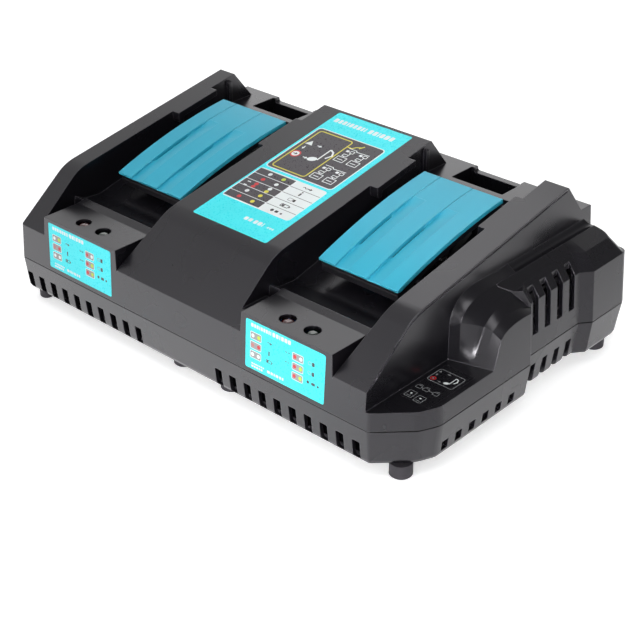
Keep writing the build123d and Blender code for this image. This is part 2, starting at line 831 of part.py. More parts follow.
with BuildPart() as cord_gland:
    with BuildSketch(Plane.XZ.offset(-97.0)):
        with Locations((gland_x, gland_z)):
            Circle(6.6)
    extrude(amount=-2.0)
    with BuildSketch(Plane.XZ.offset(-97.0)):
        with Locations((gland_x, gland_z)):
            Circle(5.45)
    extrude(amount=-6.0)
    with BuildSketch(Plane.XZ.offset(-101.8)):
        with Locations((gland_x, gland_z)):
            Circle(7.5)
    extrude(amount=-2.0)
    with BuildSketch(Plane.XZ.offset(-90.0)):
        with Locations((gland_x, gland_z)):
            Circle(gland_bore_radius)
    extrude(amount=-20.0, mode=Mode.SUBTRACT)
write_part(cord_gland.part, "cord_gland")


# ---------------------------------------------------------------- lamps
def lamp_lens(x, y):
    """Domed lens standing on its board, recessed in the block."""
    base = lamp_board_z + board_thickness
    with BuildPart() as lens:
        with BuildSketch(Plane.XY.offset(base)):
            with Locations((x, y)):
                Circle(2.2)
        extrude(amount=2.0)
        with BuildSketch(Plane.XY.offset(base + 1.4)):
            with Locations((x, y)):
                Circle(4.5)
        extrude(amount=8.3)
        fillet(lens.edges().group_by(Axis.Z)[-1], 3.4)
    return lens.part


for node, side in (("red_lamps", -1), ("green_lamps", 1)):
    with BuildPart() as lamps:
        for x in bay_centres:
            add(lamp_lens(x + lamp_pair_x + side * lamp_spacing / 2, lamp_y))
    write_part(lamps.part, node)

with BuildPart() as lamp_boards:
    with BuildSketch(Plane.XY.offset(lamp_board_z)):
        with Locations([(x + lamp_pair_x, lamp_y) for x in bay_centres]):
            Rectangle(36.0, 15.0)
    extrude(amount=board_thickness)
write_part(lamp_boards.part, "lamp_boards")


# ---------------------------------------------------------------- terminal covers and their carriages
def arc_plate(top_sink, bottom_sink, y_range):
    """Closed YZ outline of a plate that follows the cover's arc."""
    ys = [y_range[0], sum(y_range) / 2, y_range[1]]
    upper = [cover_point(y, top_sink) for y in ys]
    lower = [cover_point(y, bottom_sink) for y in ys]
    ThreePointArc(*upper)
    Line(upper[2], lower[2])
    ThreePointArc(*lower)
    Line(lower[0], upper[0])


def channel_section(left_x, y, depth):
    """Closed XZ outline of a channel: deep along its left side, nothing at its right."""
    arc_z = cover_point(y, 0)[1]
    Polyline(
        (left_x, arc_z - depth),
        (left_x + channel_width, arc_z),
        (left_x + channel_width, arc_z + 6),
        (left_x, arc_z + 6),
        close=True,
    )


cover_y = (cover_front[0], cover_rear[0])
channel_stations = [(-50.0 + 63.5 * i / 7, channel_depth) for i in range(8)]
channel_stations.append((channel_end_y + channel_ramp, 0.0))
for name, bay_x in zip(node_names, bay_centres):
    centre_x = bay_x + cover_offset_x
    with BuildPart() as terminal_cover:
        with BuildSketch(Plane.YZ.offset(centre_x - cover_width / 2)):
            with BuildLine():
                arc_plate(0, cover_thickness, cover_y)
            make_face()
        extrude(amount=cover_width)
        # Thinned underside at the front edge
        with BuildSketch(Plane.YZ.offset(centre_x - cover_width / 2)):
            with BuildLine():
                Polyline(
                    cover_point(-48.0, 0.5),
                    cover_point(-43.6, cover_thickness + 0.2),
                    cover_point(-48.0, cover_thickness + 3.0),
                    close=True,
                )
            make_face()
        extrude(amount=cover_width, mode=Mode.SUBTRACT)
        for left_x in channel_left_x:
            # Channel from the front edge, ending in a ramp
            for station, following in zip(channel_stations[:-1], channel_stations[1:]):
                for y, channel_depth_here in (station, following):
                    with BuildSketch(Plane.XZ.offset(-y)):
                        with BuildLine():
                            channel_section(centre_x + left_x, y, channel_depth_here)
                        make_face()
                loft(ruled=True, mode=Mode.SUBTRACT)
            # Fine line from the end of the channel to the rear edge
            with BuildSketch(Plane.YZ.offset(centre_x + left_x)):
                with BuildLine():
                    arc_plate(-1.0, 0.4, (channel_end_y + channel_ramp - 1.0, cover_y[1] + 1.0))
                make_face()
            extrude(amount=0.5, mode=Mode.SUBTRACT)
            # Slot for a power blade along the left wall of the channel
            with BuildSketch(Plane.XY.offset(60)):
                with Locations((centre_x + left_x + slot_gap / 2, (blade_y[0] + blade_y[1] + travel_y) / 2)):
                    Rectangle(slot_gap, blade_y[1] - blade_y[0] + travel_y + 2)
            extrude(amount=60, mode=Mode.SUBTRACT)
    write_part(terminal_cover.part, f"{name}_terminal_cover")

    with BuildPart() as cover_carriage:
        with BuildSketch(Plane.YZ.offset(centre_x - carriage_width / 2)):
            with BuildLine():
                arc_plate(cover_thickness, cover_thickness + carriage_thickness, (-45.4, 45.0))
            make_face()
        extrude(amount=carriage_width)
        # Lip under the front edge of the cover
        with BuildSketch(Plane.YZ.offset(centre_x - carriage_width / 2)):
            with BuildLine():
                Polyline((-44.6, 74.0), (-44.2, 70.4), (-41.6, 70.7), (-41.6, 74.0), close=True)
            make_face()
        extrude(amount=carriage_width)
        # Window for the terminals
        with BuildSketch(Plane.XY.offset(55)):
            with Locations((centre_x, -1.0)):
                Rectangle(38.0, 62.0)
        extrude(amount=60, mode=Mode.SUBTRACT)
        # Legs on the slide ramps
        for end_y, end_z in slide_ends:
            tip_y = end_y - leg_length
            for x in (centre_x - leg_x[1], centre_x + leg_x[0]):
                with BuildSketch(Plane.YZ.offset(x)):
                    with BuildLine():
                        Polyline(
                            (tip_y, slide_height(tip_y, end_y, end_z)),
                            (end_y, end_z),
                            (end_y, cover_point(end_y, 5.5)[1]),
                            (tip_y, cover_point(tip_y, 5.5)[1]),
                            close=True,
                        )
                    make_face()
                extrude(amount=leg_x[1] - leg_x[0])
    write_part(cover_carriage.part, f"{name}_cover_carriage")

    # Terminal block on the bay floor, with the power blades and signal contacts that stand in it
    block_y = (-27.0, 12.0)
    with BuildPart() as terminal_block:
        with BuildSketch(Plane.YZ.offset(centre_x - 18)):
            with BuildLine():
                Polyline(
                    (block_y[0], floor_top(block_y[0])),
                    (block_y[0], cover_front[1] + cover_slope * (block_y[0] - cover_front[0]) - 8),
                    (block_y[1], cover_front[1] + cover_slope * (block_y[1] - cover_front[0]) - 8),
                    (block_y[1], floor_top(block_y[1])),
                    close=True,
                )
            make_face()
        extrude(amount=36)
        with BuildSketch(Plane.XY.offset(55)):
            with Locations([(centre_x + dx, sum(blade_y) / 2) for dx in blade_x]):
                Rectangle(blade_thickness + 0.1, blade_y[1] - blade_y[0] + 0.1)
            with Locations([(centre_x + dx, signal_y) for dx in signal_x]):
                Rectangle(1.1, 5.1)
        extrude(amount=60, mode=Mode.SUBTRACT)
    write_part(terminal_block.part, f"{name}_terminal_block")

    with BuildPart() as power_blades:
        for dx in blade_x:
            with BuildSketch(Plane.YZ.offset(centre_x + dx - blade_thickness / 2)):
                with BuildLine():
                    FilletPolyline(
                        (blade_y[0], floor_top(blade_y[0]) - 9),
                        (blade_y[0], cover_point(blade_y[0], 3.2)[1]),
                        (blade_y[1], cover_point(blade_y[1], 3.2)[1]),
                        (blade_y[1], floor_top(blade_y[0]) - 9),
                        radius=[0, 1.5, 1.5, 0],
                        close=True,
                    )
                make_face()
            extrude(amount=blade_thickness)
    write_part(power_blades.part, f"{name}_power_blades")

    with BuildPart() as signal_contacts:
        for dx in signal_x:
            with BuildSketch(Plane.YZ.offset(centre_x + dx - 0.5)):
                with Locations((signal_y, 69.0)):
                    Rectangle(5.0, 20.0)
            extrude(amount=1.0)
    write_part(signal_contacts.part, f"{name}_signal_contacts")

    # Return springs under the side bars of the carriage
    spring_wire = 0.5
    spring_radius = 2.9
    spring_y = -2.0
    spring_base = floor_top(spring_y + spring_radius) + 0.7
    spring_top = cover_point(spring_y, cover_thickness + carriage_thickness)[1] - 1.6
    with BuildPart() as cover_springs:
        for side in (-1, 1):
            axis_x = centre_x + side * 23.2
            coil = Helix(2.4, spring_top - spring_base, spring_radius, center=(axis_x, spring_y, spring_base))
            with BuildSketch(Plane(coil @ 0, z_dir=coil % 0)):
                Circle(spring_wire)
            sweep(path=coil, is_frenet=True)
    write_part(cover_springs.part, f"{name}_cover_springs")

# ---------------------------------------------------------------- circuit board and its parts
with BuildPart() as main_board:
    with BuildSketch(Plane.XY.offset(board_z)):
        with Locations((sum(board_x) / 2, sum(board_y) / 2)):
            RectangleRounded(board_x[1] - board_x[0], board_y[1] - board_y[0], 3.0)
        with Locations(board_screws_at):
            Circle(1.6, mode=Mode.SUBTRACT)
    extrude(amount=board_thickness)
write_part(main_board.part, "main_board")

with BuildPart() as board_screws:
    with BuildSketch(Plane.XY.offset(board_top)):
        with Locations(board_screws_at):
            Circle(2.9)
    extrude(amount=2.0)
    with BuildSketch(Plane.XY.offset(board_top)):
        with Locations(board_screws_at):
            Circle(1.5)
    extrude(amount=-7.5)
    with BuildSketch(Plane.XY.offset(board_top + 2.0)):
        with Locations(board_screws_at):
            Rectangle(3.6, 0.8)
            Rectangle(0.8, 3.6)
    extrude(amount=-1.2, mode=Mode.SUBTRACT)
write_part(board_screws.part, "board_screws")

core_x = -12.0
core_size = (42.0, 35.0, 38.0)
leg_half = 7.0
window_half = 15.0
window_z = (board_top + 7.0, board_top + 31.0)
window_height = window_z[1] - window_z[0]
with BuildPart() as transformer_core:
    with BuildSketch(Plane.XY.offset(board_top)):
        with Locations((core_x, 0)):
            Rectangle(core_size[0], core_size[1])
    extrude(amount=core_size[2])
    with BuildSketch(Plane.XZ.offset(core_size[1])):
        for side in (-1, 1):
            with Locations((core_x + side * (leg_half + window_half) / 2, sum(window_z) / 2)):
                Rectangle(window_half - leg_half, window_height)
    extrude(amount=-2 * core_size[1], mode=Mode.SUBTRACT)
write_part(transformer_core.part, "transformer_core")

with BuildPart() as transformer_winding:
    with BuildSketch(Plane.XY.offset(window_z[0])):
        with Locations((core_x, 0)):
            RectangleRounded(2 * window_half - 0.4, core_size[1] + 13, 4.0)
            Rectangle(2 * leg_half + 0.4, core_size[1] + 0.4, mode=Mode.SUBTRACT)
    extrude(amount=window_height - 0.2)
write_part(transformer_winding.part, "transformer_winding")

with BuildPart() as bulk_capacitors:
    with BuildSketch(Plane.XY.offset(board_top)):
        with Locations((-60, -20), (-60, 10)):
            Circle(11)
    extrude(amount=38.0)
    fillet(bulk_capacitors.edges().group_by(Axis.Z)[-1], 1.2)
write_part(bulk_capacitors.part, "bulk_capacitors")

sink_x = 32.0
with BuildPart() as heat_sink:
    with BuildSketch(Plane.XY.offset(board_top)):
        with Locations((sink_x + 1.5, 0)):
            Rectangle(3.0, 60.0)
        with Locations((sink_x + 11.0, 0)):
            with GridLocations(1, 7.0, 1, 9):
                Rectangle(18.0, 1.6)
    extrude(amount=34.0)
write_part(heat_sink.part, "heat_sink")

with BuildPart() as power_transistors:
    with BuildSketch(Plane.XY.offset(board_top + 5)):
        with Locations([(sink_x - 2.5, y) for y in (-20, 0, 20)]):
            Rectangle(5.0, 16.0)
    extrude(amount=20.0)
    with BuildSketch(Plane.XY.offset(board_top)):
        for y in (-20, 0, 20):
            with Locations((sink_x - 2.5, y)):
                with GridLocations(1, 5.0, 1, 3):
                    Rectangle(0.8, 1.2)
    extrude(amount=5.0)
write_part(power_transistors.part, "power_transistors")

with BuildPart() as line_choke:
    with BuildSketch(Plane.XY.offset(board_top)):
        with Locations((-60, 36)):
            Circle(11)
            Circle(5, mode=Mode.SUBTRACT)
    extrude(amount=12.0)
    fillet(line_choke.edges().group_by(Axis.Z)[-1], 2.0)
write_part(line_choke.part, "line_choke")

with BuildPart() as fuse:
    with BuildSketch(Plane.YZ.offset(-48)):
        with Locations((-38, board_top + 5)):
            Circle(2.6)
    extrude(amount=22)
    with BuildSketch(Plane.XY.offset(board_top)):
        with Locations((-46, -38), (-28, -38)):
            Rectangle(5.0, 7.0)
    extrude(amount=6.0)
write_part(fuse.part, "fuse")

with BuildPart() as relays:
    with BuildSketch(Plane.XY.offset(board_top)):
        with Locations((-4, -36), (18, -36)):
            Rectangle(19.0, 15.0)
    extrude(amount=15.5)
    fillet(relays.edges().filter_by(Axis.Z), 0.8)
write_part(relays.part, "relays")

with BuildPart() as sounder:
    with BuildSketch(Plane.XY.offset(board_top)):
        with Locations((20, 38)):
            Circle(6)
    extrude(amount=9.0)
    with BuildSketch(Plane.XY.offset(board_top + 9)):
        with Locations((20, 38)):
            Circle(1.2)
    extrude(amount=-4.0, mode=Mode.SUBTRACT)
write_part(sounder.part, "sounder")

# ---------------------------------------------------------------- fan behind the vent slots
fan_hub_radius = 9.0
fan_axis_at = (fan_centre_y, fan_centre_z)
with BuildPart() as fan_frame:
    with BuildSketch(Plane.YZ.offset(fan_front_x)):
        with Locations(fan_axis_at):
            RectangleRounded(fan_size, fan_size, 2.5)
            Circle(fan_size / 2 - 1.6, mode=Mode.SUBTRACT)
            with GridLocations(fan_size - 8, fan_size - 8, 2, 2):
                Circle(2.1, mode=Mode.SUBTRACT)
    extrude(amount=fan_thickness)
    # Motor plate on four arms, with the rotor's shaft pin
    with BuildSketch(Plane.YZ.offset(fan_front_x)):
        with Locations(fan_axis_at):
            Circle(fan_hub_radius)
            Rectangle(fan_size - 2, 2.4)
            Rectangle(2.4, fan_size - 2)
    extrude(amount=1.6)
    with BuildSketch(Plane.YZ.offset(fan_front_x + 1.6)):
        with Locations(fan_axis_at):
            Circle(1.5)
    extrude(amount=8.0)
write_part(fan_frame.part, "fan_frame")

blade_count = 7
with BuildPart() as fan_rotor:
    with BuildSketch(Plane.YZ.offset(fan_front_x + 2.0)):
        with Locations(fan_axis_at):
            Circle(fan_hub_radius)
    extrude(amount=9.5)
    with BuildSketch(Plane.YZ.offset(fan_front_x + 3.0)):
        with Locations(fan_axis_at):
            with PolarLocations((fan_hub_radius + 22.4) / 2, blade_count):
                Rectangle(22.4 - fan_hub_radius + 1.0, 2.0, rotation=18)
    extrude(amount=7.5)
    with BuildSketch(Plane.YZ.offset(fan_front_x + 2.0)):
        with Locations(fan_axis_at):
            Circle(1.55)
    extrude(amount=8.0, mode=Mode.SUBTRACT)
write_part(fan_rotor.part, "fan_rotor")

with BuildPart() as fan_screws:
    with BuildSketch(Plane.YZ.offset(fan_front_x + fan_thickness)):
        with Locations(fan_axis_at):
            with GridLocations(fan_size - 8, fan_size - 8, 2, 2):
                Circle(3.4)
    extrude(amount=1.4)
    with BuildSketch(Plane.YZ.offset(fan_front_x + fan_thickness)):
        with Locations(fan_axis_at):
            with GridLocations(fan_size - 8, fan_size - 8, 2, 2):
                Circle(2.0)
    extrude(amount=-(fan_thickness + 1.5))
write_part(fan_screws.part, "fan_screws")
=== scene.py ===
import json
import math

import bmesh
import bpy
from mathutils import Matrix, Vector


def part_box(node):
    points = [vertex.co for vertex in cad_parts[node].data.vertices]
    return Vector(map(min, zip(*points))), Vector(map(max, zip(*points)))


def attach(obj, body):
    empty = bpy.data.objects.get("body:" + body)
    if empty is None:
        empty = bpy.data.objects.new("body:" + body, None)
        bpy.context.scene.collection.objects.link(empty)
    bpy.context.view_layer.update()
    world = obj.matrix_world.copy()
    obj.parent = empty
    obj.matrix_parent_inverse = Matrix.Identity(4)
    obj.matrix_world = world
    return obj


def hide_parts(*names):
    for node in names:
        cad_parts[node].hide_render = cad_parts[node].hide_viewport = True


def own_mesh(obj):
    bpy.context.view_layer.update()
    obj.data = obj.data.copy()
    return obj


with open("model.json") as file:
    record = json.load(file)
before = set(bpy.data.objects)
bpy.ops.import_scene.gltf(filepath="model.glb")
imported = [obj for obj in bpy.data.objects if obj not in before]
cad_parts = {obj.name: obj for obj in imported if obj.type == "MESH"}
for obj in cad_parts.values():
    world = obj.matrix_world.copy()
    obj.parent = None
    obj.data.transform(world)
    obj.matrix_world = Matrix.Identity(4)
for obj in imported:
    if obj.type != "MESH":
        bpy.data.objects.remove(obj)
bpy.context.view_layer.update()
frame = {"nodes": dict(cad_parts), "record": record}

# Sizes are in millimetres where MM turns them into metres, and in metres otherwise
MM = 0.001
WHITE = (1.0, 1.0, 1.0, 1.0)
scene = bpy.context.scene


# ---------------------------------------------------------------- colours and node helpers
def srgb(red, green, blue):
    """Linear colour from 0-255 screen values."""
    def linear(value):
        """Linear share of one screen value."""
        value /= 255
        return value / 12.92 if value <= 0.04045 else ((value + 0.055) / 1.055) ** 2.4
    return (linear(red), linear(green), linear(blue), 1.0)


class Tree:
    """Short way to add and join the nodes of a material or of the world."""

    # Places of the two values and of the result in a mix node
    mix_sockets = {"FLOAT": (2, 3, 0), "RGBA": (6, 7, 2)}

    def __init__(self, tree):
        self.tree = tree

    def add(self, kind, **settings):
        """New node with its settings."""
        node = self.tree.nodes.new(kind)
        for key, value in settings.items():
            setattr(node, key, value)
        return node

    def feed(self, value, socket):
        """Links a socket to another node's output, or gives it a fixed value."""
        if isinstance(value, bpy.types.NodeSocket):
            self.tree.links.new(value, socket)
        else:
            socket.default_value = value

    def math(self, operation, *values):
        """Result of a math node."""
        node = self.add("ShaderNodeMath", operation=operation)
        for value, socket in zip(values, node.inputs):
            self.feed(value, socket)
        return node.outputs[0]

    def largest(self, first, *others):
        """Largest of several values."""
        for other in others:
            first = self.math("MAXIMUM", first, other)
        return first

    def dot(self, first, second):
        """Dot product of two directions."""
        node = self.add("ShaderNodeVectorMath", operation="DOT_PRODUCT")
        self.feed(first, node.inputs[0])
        self.feed(second, node.inputs[1])
        return node.outputs["Value"]

    def along(self, axis, vector):
        """One coordinate of a place or direction."""
        split = self.add("ShaderNodeSeparateXYZ")
        self.feed(vector, split.inputs[0])
        return split.outputs[axis]

    def remap(self, value, low, high, start=0.35, end=0.65):
        """Value carried from the range start to end over to the range low to high, and held within it."""
        node = self.add("ShaderNodeMapRange")
        for name, number in (("From Min", start), ("From Max", end), ("To Min", low), ("To Max", high)):
            node.inputs[name].default_value = number
        self.feed(value, node.inputs["Value"])
        return node.outputs["Result"]

    def mix(self, factor, first, second, kind="RGBA"):
        """First colour or number where the factor is 0, and second where it is 1."""
        first_place, second_place, result_place = self.mix_sockets[kind]
        node = self.add("ShaderNodeMix", data_type=kind)
        self.feed(factor, node.inputs[0])
        self.feed(first, node.inputs[first_place])
        self.feed(second, node.inputs[second_place])
        return node.outputs[result_place]


class Nodes(Tree):
    """Node tree of a new material."""

    noise_roughness = 0.55
    bevel_samples = 6
    # Agreement of the rounded and the flat normal: an edge below the first value, a flat above the second
    edge_limits = (0.78, 0.97)

    def __init__(self, name):
        self.material = bpy.data.materials.new(name)
        self.material.use_nodes = True
        super().__init__(self.material.node_tree)
        self.shader = self.tree.nodes["Principled BSDF"]
        self.place = self.add("ShaderNodeTexCoord").outputs["Object"]

    def noise(self, scale, detail=3.0, stretch=None):
        """Cloudy noise with about as many patches in a metre as the scale."""
        place = self.place
        if stretch:
            mapping = self.add("ShaderNodeMapping")
            mapping.inputs["Scale"].default_value = stretch
            self.feed(place, mapping.inputs["Vector"])
            place = mapping.outputs["Vector"]
        node = self.add("ShaderNodeTexNoise")
        node.inputs["Scale"].default_value = scale
        node.inputs["Detail"].default_value = detail
        node.inputs["Roughness"].default_value = self.noise_roughness
        self.feed(place, node.inputs["Vector"])
        return node.outputs["Fac"]

    def bump(self, height, distance, strength, below=None):
        """Normal of a surface raised by the height, laid over another normal where there is one."""
        node = self.add("ShaderNodeBump")
        node.inputs["Strength"].default_value = strength
        node.inputs["Distance"].default_value = distance
        self.feed(height, node.inputs["Height"])
        if below is not None:
            self.feed(below, node.inputs["Normal"])
        return node.outputs["Normal"]

    def edge_mask(self, radius):
        """Mask that is one along convex and concave edges and zero on flats, and the rounded normal."""
        bevel = self.add("ShaderNodeBevel", samples=self.bevel_samples)
        bevel.inputs["Radius"].default_value = radius
        rounded_normal = bevel.outputs["Normal"]
        agreement = self.dot(rounded_normal, self.add("ShaderNodeNewGeometry").outputs["Normal"])
        return self.remap(agreement, 1.0, 0.0, *self.edge_limits), rounded_normal

    def paint(self, inputs):
        """Feeds the shader's inputs and returns the finished material."""
        for name, value in inputs.items():
            self.feed(value, self.shader.inputs[name])
        return self.material


def shade(colour, drift=0.1):
    """Slightly darker and lighter versions of a colour."""
    darker = tuple(c * (1 - drift) for c in colour[:3]) + (1.0,)
    lighter = tuple(min(c * (1 + drift), 1.0) for c in colour[:3]) + (1.0,)
    return darker, lighter


# ---------------------------------------------------------------- materials
# Painted shadow in the gap of the housing's joint: its height and half width in millimetres, and its colour
housing_joint_z = 31.05
joint_line = 0.5
joint_shadow = srgb(6, 6, 7)
# Tint of the plastics' reflections
plastic_tint = (0.96, 0.93, 1.0, 1.0)


def plastic(name, colour, roughness, grain, grain_size, coat=0.0, coat_roughness=0.12, edge=0.0,
            edge_highlight=None, drift=0.1, joint_z=None):
    """Moulded plastic: fine spark-eroded grain, faint tone drift, painted edge highlights and joint shadow.

    The grain's depth and size, the edge's radius and the joint's height are in millimetres.
    """
    n = Nodes(name)
    darker, lighter = shade(colour, drift)
    tone = n.mix(n.remap(n.noise(18.0, 2.0), 0.0, 1.0, 0.15, 0.85), darker, lighter)
    normal = None
    if edge:
        mask, normal = n.edge_mask(edge * MM)
        # Painted highlight: edges are lightened towards the given edge colour, in patches of noise
        tone = n.mix(n.math("MULTIPLY", mask, n.remap(n.noise(120.0), 0.45, 0.85)), tone, edge_highlight)
    # Painted shadow: a near-black band along the gap of the housing's joint
    if joint_z:
        in_joint = n.math("COMPARE", n.along("Z", n.place), joint_z * MM, joint_line * MM)
        tone = n.mix(in_joint, tone, joint_shadow)
    return n.paint({
        "Base Color": tone,
        "Roughness": n.remap(n.noise(30.0, 2.0), roughness - 0.03, roughness + 0.03, 0.15, 0.85),
        "Normal": n.bump(n.noise(1000.0 / grain_size, 2.0), grain * MM, 0.6, normal),
        "Coat Weight": coat,
        "Coat Roughness": coat_roughness,
        "Specular Tint": plastic_tint,
    })


def metal(name, colour, roughness, brushed=(1.0, 1.0, 1.0)):
    """Bare or plated metal with fine drawn lines and cloudy tone."""
    n = Nodes(name)
    lines = n.noise(600.0, stretch=brushed)
    return n.paint({
        "Base Color": n.mix(n.remap(n.noise(90.0, 4.0), 0.0, 1.0), *shade(colour)),
        "Roughness": n.remap(lines, roughness - 0.08, roughness + 0.1),
        "Normal": n.bump(lines, 0.01 * MM, 0.5),
        "Metallic": 1.0,
    })


def print_ink(name, colour, roughness):
    """Printed film or screen-printed ink, slightly uneven."""
    n = Nodes(name)
    return n.paint({
        "Base Color": n.mix(n.remap(n.noise(60.0), 0.42, 0.58), *shade(colour)),
        "Roughness": n.remap(n.noise(900.0, 2.0), roughness - 0.05, roughness + 0.08),
        "Normal": n.bump(n.noise(1800.0, 2.0), 0.004 * MM, 0.5),
    })


def tinted_lens(name, colour, deep):
    """Domed lamp lens: clear coat over a dark tinted body with a faint moulded pattern."""
    n = Nodes(name)
    cells = n.add("ShaderNodeTexVoronoi")
    cells.inputs["Scale"].default_value = 900.0
    n.feed(n.place, cells.inputs["Vector"])
    pattern = cells.outputs["Distance"]
    return n.paint({
        "Base Color": n.mix(n.remap(pattern, 0.0, 1.0, 0.1, 0.7), deep, colour),
        "Roughness": n.remap(n.noise(500.0), 0.05, 0.14),
        "Normal": n.bump(pattern, 0.12 * MM, 0.35),
        "Coat Weight": 1.0,
        "Coat Roughness": 0.03,
        "Transmission Weight": 0.25,
    })


# Each plastic's lighter edge colour is a painted highlight along its edges
charcoal = plastic(
    "charcoal_plastic", srgb(18, 17, 21), roughness=0.28, grain=0.010, grain_size=0.8, coat=0.4,
    coat_roughness=0.24, edge=0.7, edge_highlight=srgb(104, 101, 108), drift=0.05, joint_z=housing_joint_z,
)
teal = plastic(
    "turquoise_plastic", srgb(50, 172, 200), roughness=0.30, grain=0.010, grain_size=0.8,
    edge=0.4, edge_highlight=srgb(140, 216, 236), drift=0.03,
)
black = plastic(
    "black_plastic", srgb(20, 19, 22), roughness=0.34, grain=0.012, grain_size=0.8,
    edge=0.4, edge_highlight=srgb(48, 46, 50),
)
cyan_film = print_ink("cyan_film", srgb(60, 236, 246), roughness=0.30)
dark_film = print_ink("dark_film", srgb(20, 19, 23), roughness=0.28)
rubber = plastic("foot_rubber", srgb(44, 42, 46), roughness=0.62, grain=0.05, grain_size=0.8)
soft_rubber = plastic("gland_rubber", srgb(30, 29, 31), roughness=0.55, grain=0.04, grain_size=0.7)
steel = metal("plated_steel", srgb(196, 196, 192), roughness=0.28, brushed=(1.0, 1.0, 12.0))
contact = metal("tinned_contact", srgb(214, 210, 198), roughness=0.22, brushed=(1.0, 12.0, 1.0))
aluminium = metal("extruded_aluminium", srgb(205, 207, 210), roughness=0.35, brushed=(1.0, 1.0, 20.0))
ferrite = metal("ferrite", srgb(70, 70, 74), roughness=0.55)
solder_mask = plastic("solder_mask", srgb(28, 96, 52), roughness=0.3, grain=0.01, grain_size=1.0, coat=0.3)
tape = plastic("winding_tape", srgb(214, 170, 60), roughness=0.35, grain=0.02, grain_size=2.0, coat=0.3)
sleeve = plastic("capacitor_sleeve", srgb(38, 40, 96), roughness=0.25, grain=0.01, grain_size=1.0, coat=0.4)
ceramic = plastic("fuse_ceramic", srgb(220, 218, 210), roughness=0.25, grain=0.01, grain_size=0.8)
relay_blue = plastic("relay_case", srgb(36, 92, 160), roughness=0.35, grain=0.02, grain_size=0.6)
red_lens = tinted_lens("red_lens", srgb(92, 16, 21), deep=srgb(24, 4, 6))
green_lens = tinted_lens("green_lens", srgb(20, 50, 38), deep=srgb(3, 14, 10))
spring_steel = metal("oiled_spring_steel", srgb(72, 70, 70), roughness=0.36, brushed=(1.0, 1.0, 12.0))

slot_materials = {
    "housing": charcoal, "cover": teal, "carriage": black, "label": cyan_film, "dark_label": dark_film,
    "red_lens": red_lens, "green_lens": green_lens, "foot_rubber": rubber, "gland_rubber": soft_rubber,
    "steel": steel, "contact_metal": contact, "board": solder_mask, "ferrite": ferrite, "winding": tape,
    "capacitor_sleeve": sleeve, "aluminium": aluminium, "black_resin": black, "fuse_glass": ceramic,
    "relay_case": relay_blue,
}
for row in frame["record"]["subparts"]:
    node = frame["nodes"][row["node"]]
    node.data.materials.clear()
    node.data.materials.append(slot_materials[row["material_slot"]])


def add_object(name, build):
    """Object with the mesh that was built, which ends the building."""
    mesh = bpy.data.meshes.new(name)
    build.to_mesh(mesh)
    build.free()
    piece = bpy.data.objects.new(name, mesh)
    scene.collection.objects.link(piece)
    return piece


# ---------------------------------------------------------------- return springs
spring_wire = 0.5 * MM
spring_pitch = 2.4 * MM
turn_steps = 16
wire_sides = 8


def add_coil(build, x, y, low_z, high_z, radius):
    """Round wire wound from low_z to high_z about an upright axis."""
    count = round((high_z - low_z) / spring_pitch * turn_steps)
    loops = []
    for i in range(count + 1):
        turn = 2 * math.pi * i / turn_steps
        outward = Vector((math.cos(turn), math.sin(turn), 0))
        middle = Vector((x, y, low_z + (high_z - low_z) * i / count)) + outward * radius
        loop = []
        for step in range(wire_sides):
            around = 2 * math.pi * step / wire_sides
            offset = outward * math.cos(around) + Vector((0, 0, math.sin(around)))
            loop.append(build.verts.new(middle + offset * spring_wire))
        loops.append(loop)
    for first, second in zip(loops[:-1], loops[1:]):
        for step in range(wire_sides):
            after = (step + 1) % wire_sides
            build.faces.new([first[step], first[after], second[after], second[step]])
    build.faces.new(loops[0][::-1])
    build.faces.new(loops[-1])


# Each pair of coils stands on the charger in the box of the part's springs, which are hidden
for side in ("left", "right"):
    spring_low, spring_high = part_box(f"{side}_cover_springs")
    reach = (spring_high[1] - spring_low[1]) / 2
    middle_y = (spring_high[1] + spring_low[1]) / 2
    low_z, high_z = spring_low[2] + spring_wire, spring_high[2] - spring_wire
    build = bmesh.new()
    for x in (spring_low[0] + reach, spring_high[0] - reach):
        add_coil(build, x, middle_y, low_z, high_z, reach - spring_wire)
    bmesh.ops.recalc_face_normals(build, faces=build.faces)
    springs = add_object(f"{side}_return_springs", build)
    springs.data.polygons.foreach_set("use_smooth", [True] * len(springs.data.polygons))
    springs.data.materials.append(spring_steel)
    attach(springs, "charger")
    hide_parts(f"{side}_cover_springs")
    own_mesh(springs)


# ---------------------------------------------------------------- printed graphics of the labels
# Heights over the film in millimetres: the foot of every ink, and its top, which rises with each layer
ink_foot = 0.03
ink_top = 0.05
layer_step = 0.02
corner_steps = 4
sharpest_bend = 0.4


